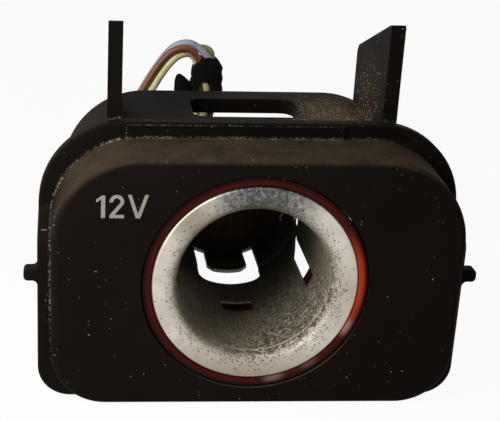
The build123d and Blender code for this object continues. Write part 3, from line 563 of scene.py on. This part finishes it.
def printed_ink():
    """Pad-printed ink: warm light grey, thin and even, with pinholes where the grain shows through."""
    finish = bpy.context.scene.socket_finish
    material, tree, place = new_material("pad_printed_ink")
    wear = add_node(
        tree, "ShaderNodeTexNoise", {"Vector": place, "Scale": 1 / 0.3, "Detail": 4.0, "Roughness": 0.7}
    )
    thin = add_node(
        tree, "ShaderNodeMapRange", {"Value": wear.outputs["Fac"], "From Min": 0.5, "From Max": 0.8}
    )
    skin = add_node(
        tree, "ShaderNodeMix",
        {"data_type": "RGBA", 0: thin, 6: finish.mark, 7: [v * 0.55 for v in finish.mark]},
    )
    set_surface(tree, {"Base Color": skin, "Roughness": 0.6, "Specular IOR Level": 0.2})
    return material


def finish_node(name, material):
    """Gives a CAD node its finish."""
    node = NODES[name]
    node.data.materials.clear()
    node.data.materials.append(material)


def add_piece(name, verts, faces, material, smooth=True):
    """A new mesh that moves with the socket."""
    mesh = bpy.data.meshes.new(name)
    mesh.from_pydata(verts, [], faces)
    mesh.validate()
    piece = bpy.data.objects.new(name, mesh)
    bpy.context.collection.objects.link(piece)
    mesh.materials.append(material)
    for polygon in mesh.polygons:
        polygon.use_smooth = smooth
    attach(piece, "root")
    return piece


class SOCKET_OT_barrel(bpy.types.Operator):
    """Finish the drawn barrel"""

    bl_idname = "socket.barrel"
    bl_label = "Barrel"

    def execute(self, context):
        finish_node("socket_barrel", nickel_plate())
        return {"FINISHED"}


class SOCKET_OT_bezel(bpy.types.Operator):
    """Finish the front bezel"""

    bl_idname = "socket.bezel"
    bl_label = "Bezel"

    def execute(self, context):
        finish = context.scene.socket_finish
        film = 0.25
        heaps = (((-26.5, -1.0, 8.0), 5.0, 0.08),)
        finish_node("front_bezel", dusty_moulding("grained_black_abs", finish.bezel, film, heaps))
        return {"FINISHED"}


class SOCKET_OT_ring(bpy.types.Operator):
    """Finish the lit ring"""

    bl_idname = "socket.ring"
    bl_label = "Light ring"

    def execute(self, context):
        finish_node("light_ring", clear_red_polycarbonate())
        return {"FINISHED"}


class SOCKET_OT_frame(bpy.types.Operator):
    """Finish the carrier frame, with the grit heaped at the foot of the right fin"""

    bl_idname = "socket.frame"
    bl_label = "Carrier frame"

    def execute(self, context):
        finish = context.scene.socket_finish
        film = 0.01
        heaps = (((14.5, 18.5, 18.4), 12.0, 0.75), ((-24.0, 9.0, 14.0), 4.0, 0.12))
        finish_node("carrier_frame", dusty_moulding("black_polyamide", finish.frame, film, heaps))
        return {"FINISHED"}


class SOCKET_OT_rear(bpy.types.Operator):
    """Finish the insulator, contacts, housing and lamp holder behind the barrel"""

    bl_idname = "socket.rear"
    bl_label = "Contacts and housings"

    def execute(self, context):
        finish = context.scene.socket_finish
        finish_node("base_insulator", plain_moulding("dark_phenolic", finish.insulator, 0.5, 0.2))
        finish_node("centre_contact", stamped_brass("tarnished_brass", finish.tarnish, 0.5))
        bright = stamped_brass("stamped_brass", finish.brass, 0.32)
        for name in (
            "positive_terminal", "terminal_washer", "ground_terminal", "ground_rivet", "lamp_contact_left",
            "lamp_contact_right",
        ):
            finish_node(name, bright)
        finish_node("terminal_housing", plain_moulding("black_pbt", finish.rear, 0.5, 0.12))
        finish_node("lamp_holder", plain_moulding("black_nylon", finish.rear, 0.55, 0.1))
        finish_node("wire_grommet", plain_moulding("black_rubber", finish.rear, 0.8, 0.06))
        finish_node("lamp_bulb", bulb_glass())
        return {"FINISHED"}


class SOCKET_OT_tape(bpy.types.Operator):
    """Wind the cloth tape round the wires, with its loose tail"""

    bl_idname = "socket.tape"
    bl_label = "Tape"

    def execute(self, context):
        cloth = woven_tape()
        low, high = (Vector(corner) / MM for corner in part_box("tape_wrap"))
        tail = 2.6
        # How far the top edge rises over the middle of the bundle, and falls from there to its sides
        crest, arch = 0.7, 1.9
        corner_power = 2.6
        winds = 3.2
        centre_x = (low.x + tail + high.x) / 2
        centre_y = (low.y + high.y) / 2
        half_x = (high.x - low.x - tail) / 2
        half_y = (high.y - low.y) / 2
        # The winds part at the foot of the front, where two wires show
        gap_x, gap_half, gap_top = -3.42, 1.1, 17.1
        rings, steps = 40, 72
        verts, faces = [], []
        for i in range(rings + 1):
            t = i / rings
            # Full at the foot, drawn in a little at the top, whose edge arches over the wires
            swell = 0.95 + 0.03 * math.sin(math.pi * min(t / 0.75, 1.0))
            shut = 1.0 if t < 0.8 else 1.0 - 0.06 * ((t - 0.8) / 0.2) ** 2
            for k in range(steps):
                turn = 2 * math.pi * k / steps
                c, s = math.cos(turn), math.sin(turn)
                z = low.z + t * (high.z + crest - low.z - arch * abs(c) ** 2.5)
                square = (abs(c) ** corner_power + abs(s) ** corner_power) ** (-1 / corner_power)
                # Each wind of tape leaves a step that climbs round the bundle
                wind = 0.02 * math.tanh(6 * math.sin(2 * math.pi * (t * winds) + turn))
                lump = 0.05 * noise.noise(Vector((c * 1.4, s * 1.4, t * 4.0)))
                reach = min(square * (swell + wind + lump) * shut, 1.0 / max(abs(c), abs(s)))
                x, y = centre_x + half_x * reach * c, centre_y + half_y * reach * s
                verts.append((x * MM, y * MM, z * MM))
        for i in range(rings):
            for k in range(steps):
                a, b = i * steps + k, i * steps + (k + 1) % steps
                x, y, z = Vector(verts[a]) / MM
                edge = gap_top - 1.2 * ((x - gap_x) / gap_half) ** 6
                if y < centre_y and abs(x - gap_x) < gap_half and z < edge:
                    continue
                faces.append((a, b, b + steps, a + steps))
        tape = add_piece("tape_winding", verts, faces, cloth)
        shell = tape.modifiers.new("cloth", "SOLIDIFY")
        shell.thickness = 0.22 * MM
        shell.offset = -1.0
        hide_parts("tape_wrap")
        # The free tail, a rounded flag that stands out to the left
        outline = (
            (2.95, 0.9), (1.2, 0.75), (0.35, 1.2), (0.0, 2.4), (0.05, 4.0), (0.28, 4.75), (0.65, 5.05),
            (1.1, 4.98), (1.7, 4.55), (2.3, 4.0), (2.95, 3.6),
        )
        verts = [
            ((low.x + x) * MM, (centre_y - 0.6 + 0.22 * math.sin(x * 1.1)) * MM, (low.z + z) * MM)
            for x, z in outline
        ]
        flag = add_piece("tape_tail", verts, [tuple(range(len(outline)))], cloth)
        shell = flag.modifiers.new("cloth", "SOLIDIFY")
        shell.thickness = 0.32 * MM
        shell.offset = 0.0
        return {"FINISHED"}


# Routes of the wires from the back housing over to the lamp holder, in millimetres, with each wire's length.
# They lie like the strands of a rope: turned one way out of the housing, and back again in the tape and at
# the top.
WIRES = {
    "wire_brown": (37.2, (
        (-3.38, 41.35, 8.0), (-2.2, 41.7, 11.0), (-1.8, 41.9, 13.6), (-1.8, 41.8, 16.0),
        (-2.3, 41.35, 17.8), (-3.3, 41.25, 19.5), (-4.7, 41.2, 21.0), (-5.6, 41.15, 22.3),
        (-6.9, 41.15, 22.75), (-9.1, 41.35, 22.0), (-11.22, 41.35, 19.4), (-13.19, 41.35, 15.96),
        (-15.93, 41.35, 11.17), (-15.93, 41.35, 6.0),
    )),
    "wire_cream": (33.2, (
        (-4.62, 41.35, 8.0), (-3.4, 41.1, 11.0), (-2.8, 41.15, 13.6), (-2.9, 41.1, 16.2),
        (-4.0, 41.4, 18.0), (-4.5, 42.2, 19.5), (-5.0, 42.4, 20.8), (-5.9, 42.2, 21.6),
        (-7.2, 41.7, 21.5), (-8.5, 41.45, 20.8), (-10.18, 41.35, 18.7), (-12.11, 41.35, 15.34),
        (-14.68, 41.35, 10.83), (-14.68, 41.35, 6.0),
    )),
    "wire_grey": (39.1, (
        (-1.88, 42.65, 8.0), (-2.8, 42.9, 11.0), (-2.95, 42.8, 13.6), (-2.7, 42.9, 16.2),
        (-1.6, 42.7, 18.0), (-1.8, 41.45, 19.7), (-3.2, 41.55, 21.4), (-4.6, 41.85, 22.7),
        (-6.3, 42.1, 23.45), (-8.68, 42.65, 22.6), (-10.97, 42.65, 19.65), (-13.09, 42.65, 16.11),
        (-15.82, 42.65, 11.16), (-15.82, 42.65, 6.0),
    )),
    "wire_green": (35.2, (
        (-3.12, 42.65, 8.0), (-4.0, 42.3, 11.0), (-4.05, 41.55, 13.6), (-4.15, 41.85, 15.8),
        (-3.75, 42.65, 17.6), (-3.0, 42.7, 19.2), (-2.2, 42.7, 20.6), (-2.4, 43.0, 21.9),
        (-4.0, 43.2, 22.4), (-7.0, 43.15, 21.6), (-9.93, 42.65, 18.95), (-12.01, 42.65, 15.49),
        (-14.57, 42.65, 10.84), (-14.57, 42.65, 6.0),
    )),
}


class SOCKET_OT_wires(bpy.types.Operator):
    """Run the lead's wires from the back housing to the lamp holder"""

    bl_idname = "socket.wires"
    bl_label = "Wires"

    def execute(self, context):
        lead = context.scene.socket_lead
        for name, (length, route) in WIRES.items():
            tint = name.split("_")[1]
            curve = bpy.data.curves.new(f"{name}_line", "CURVE")
            curve.dimensions = "3D"
            spline = curve.splines.new("NURBS")
            spline.points.add(len(route) - 1)
            for point, place in zip(spline.points, route):
                point.co = (*(Vector(place) * MM), 1.0)
            spline.order_u = 3
            spline.use_endpoint_u = True
            spline.resolution_u = 12
            curve.bevel_depth = lead.diameter / 2
            curve.bevel_resolution = 5
            curve.materials.append(pvc_sheath(f"{tint}_pvc", getattr(lead, tint)))
            wire = bpy.data.objects.new(f"sheath_{tint}", curve)
            context.collection.objects.link(wire)
            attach(wire, "root")
            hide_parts(name)
        return {"FINISHED"}


class SOCKET_OT_mark(bpy.types.Operator):
    """Print the voltage mark on the bezel"""

    bl_idname = "socket.mark"
    bl_label = "Voltage mark"

    def execute(self, context):
        left, foot, height, proud = -21.55, 9.67, 3.24, 0.006
        bowl = Vector((2.68, 2.28))
        outer, inner = 0.95, 0.47
        turns = [math.radians(angle) for angle in range(188, -37, -15)]
        bowl_out = [bowl + outer * Vector((math.cos(a), math.sin(a))) for a in turns]
        bowl_in = [bowl + inner * Vector((math.cos(a), math.sin(a))) for a in reversed(turns)]
        outlines = (
            ((0.64, 0.0), (1.17, 0.0), (1.17, 3.12), (0.74, 3.12), (0.0, 2.58), (0.0, 2.14), (0.64, 2.6)),
            (*bowl_out, (2.42, 0.45), (3.63, 0.45), (3.63, 0.0), (1.74, 0.0), (1.74, 0.40), *bowl_in),
            (
                (4.11, height), (4.59, height), (5.46, 0.61), (6.35, height), (6.83, height), (5.76, 0.0),
                (5.18, 0.0),
            ),
        )
        front = CAD_BOX[0][1] / MM - proud
        verts, faces = [], []
        for outline in outlines:
            faces.append(tuple(range(len(verts), len(verts) + len(outline))))
            verts += [((left + x) * MM, front * MM, (foot + z) * MM) for x, z in outline]
        add_piece("voltage_mark", verts, faces, printed_ink(), smooth=False)
        return {"FINISHED"}


def seen_rays(tree):
    """One for the rays that the eye follows: straight, mirrored or through glass."""
    path = add_node(tree, "ShaderNodeLightPath", {})
    seen = add_node(
        tree, "ShaderNodeMath",
        {"operation": "MAXIMUM", 0: path.outputs["Is Camera Ray"], 1: path.outputs["Is Glossy Ray"]},
    )
    return add_node(
        tree, "ShaderNodeMath", {"operation": "MAXIMUM", 0: seen, 1: path.outputs["Is Transmission Ray"]}
    )


class SOCKET_OT_stage(bpy.types.Operator):
    """Lay the white floor, hang the lights and place the camera"""

    bl_idname = "socket.stage"
    bl_label = "Studio"

    def execute(self, context):
        scene = context.scene
        studio = scene.socket_studio
        floor_z = CAD_BOX[0][2]
        half = studio.floor_size / 2
        mesh = bpy.data.meshes.new("paper_floor")
        mesh.from_pydata(
            [(-half, -half, floor_z), (half, -half, floor_z), (half, half, floor_z), (-half, half, floor_z)],
            [], [(0, 1, 2, 3)],
        )
        floor = bpy.data.objects.new("paper_floor", mesh)
        context.collection.objects.link(floor)
        # White paper: the eye, the metal and the glass see it white, and it keeps a soft shadow
        paper = bpy.data.materials.new("white_paper")
        paper.use_nodes = True
        tree = paper.node_tree
        tree.nodes.clear()
        whiteness = 0.95
        share = add_node(tree, "ShaderNodeMath", {"operation": "MULTIPLY", 0: seen_rays(tree), 1: whiteness})
        matte = add_node(tree, "ShaderNodeBsdfDiffuse", {"Color": studio.floor})
        white = add_node(tree, "ShaderNodeEmission", {"Color": (1.0, 1.0, 1.0), "Strength": 1.0})
        mix = add_node(tree, "ShaderNodeMixShader", {0: share, 1: matte, 2: white})
        add_node(tree, "ShaderNodeOutputMaterial", {"Surface": mix})
        mesh.materials.append(paper)
        world = bpy.data.worlds.new("studio_white")
        scene.world = world
        world.use_nodes = True
        tree = world.node_tree
        tree.nodes.clear()
        dim = add_node(tree, "ShaderNodeBackground", {"Color": (0.98, 0.99, 1.0), "Strength": studio.fill})
        bright = add_node(tree, "ShaderNodeBackground", {"Color": (1.0, 1.0, 1.0), "Strength": 1.0})
        mix = add_node(tree, "ShaderNodeMixShader", {0: seen_rays(tree), 1: dim, 2: bright})
        add_node(tree, "ShaderNodeOutputWorld", {"Surface": mix})
        lamp = bpy.data.lights.new("key_softbox", "AREA")
        lamp.shape = "SQUARE"
        lamp.size = studio.key_size
        lamp.energy = studio.key_power
        lamp.color = (1.0, 0.98, 0.95)
        light = bpy.data.objects.new("key_softbox", lamp)
        context.collection.objects.link(light)
        light.location = (-0.095, -0.055, 0.08)
        aim = Vector((0.0, 0.01, 0.0)) - light.location
        light.rotation_euler = aim.to_track_quat("-Z", "Y").to_euler()
        light.visible_camera = False
        camera = bpy.data.cameras.new("photo_camera")
        camera.sensor_fit = "HORIZONTAL"
        camera.sensor_width = 36.0
        camera.lens = studio.lens
        camera.clip_start = 0.01
        camera.shift_x, camera.shift_y = 0.19369, -0.01229
        eye = bpy.data.objects.new("photo_camera", camera)
        context.collection.objects.link(eye)
        # Where the photo was taken from, in millimetres and degrees
        stand = Vector((-23.931, -144.659, 64.538))
        yaw, pitch, roll = (math.radians(angle) for angle in (3.926, 20.307, -1.757))
        ahead = Vector((math.sin(yaw) * math.cos(pitch), math.cos(yaw) * math.cos(pitch), -math.sin(pitch)))
        across = Vector((math.cos(yaw), -math.sin(yaw), 0.0))
        down = ahead.cross(across)
        right = across * math.cos(roll) + down * math.sin(roll)
        below = down * math.cos(roll) - across * math.sin(roll)
        turn = Matrix((right, -below, -ahead)).transposed()
        eye.matrix_world = Matrix.Translation(stand * MM) @ turn.to_4x4()
        scene.camera = eye
        scene.view_settings.view_transform = "Standard"
        return {"FINISHED"}


class VIEW3D_PT_socket(bpy.types.Panel):
    """Lists the socket's pieces and settings"""

    bl_label = "Power Socket"
    bl_idname = "VIEW3D_PT_socket"
    bl_space_type = "VIEW_3D"
    bl_region_type = "UI"
    bl_category = "Power Socket"

    def draw(self, context):
        column = self.layout.column()
        for operator in OPERATORS:
            column.operator(operator.bl_idname)
        for group in (context.scene.socket_finish, context.scene.socket_lead, context.scene.socket_studio):
            box = self.layout.box()
            for name in group.__annotations__:
                box.prop(group, name)


GROUPS = (SocketFinish, SocketLead, SocketStudio)
OPERATORS = (
    SOCKET_OT_barrel, SOCKET_OT_bezel, SOCKET_OT_ring, SOCKET_OT_frame, SOCKET_OT_rear, SOCKET_OT_tape,
    SOCKET_OT_wires, SOCKET_OT_mark, SOCKET_OT_stage,
)


def register():
    for cls in (*GROUPS, *OPERATORS, VIEW3D_PT_socket):
        bpy.utils.register_class(cls)
    bpy.types.Scene.socket_finish = bpy.props.PointerProperty(type=SocketFinish)
    bpy.types.Scene.socket_lead = bpy.props.PointerProperty(type=SocketLead)
    bpy.types.Scene.socket_studio = bpy.props.PointerProperty(type=SocketStudio)


def unregister():
    del bpy.types.Scene.socket_studio
    del bpy.types.Scene.socket_lead
    del bpy.types.Scene.socket_finish
    for cls in reversed((*GROUPS, *OPERATORS, VIEW3D_PT_socket)):
        bpy.utils.unregister_class(cls)


def main():
    """Builds the looks piece by piece."""
    register()
    bpy.ops.socket.barrel()
    bpy.ops.socket.bezel()
    bpy.ops.socket.ring()
    bpy.ops.socket.frame()
    bpy.ops.socket.rear()
    bpy.ops.socket.tape()
    bpy.ops.socket.wires()
    bpy.ops.socket.mark()
    bpy.ops.socket.stage()


if __name__ == "__main__":
    main()
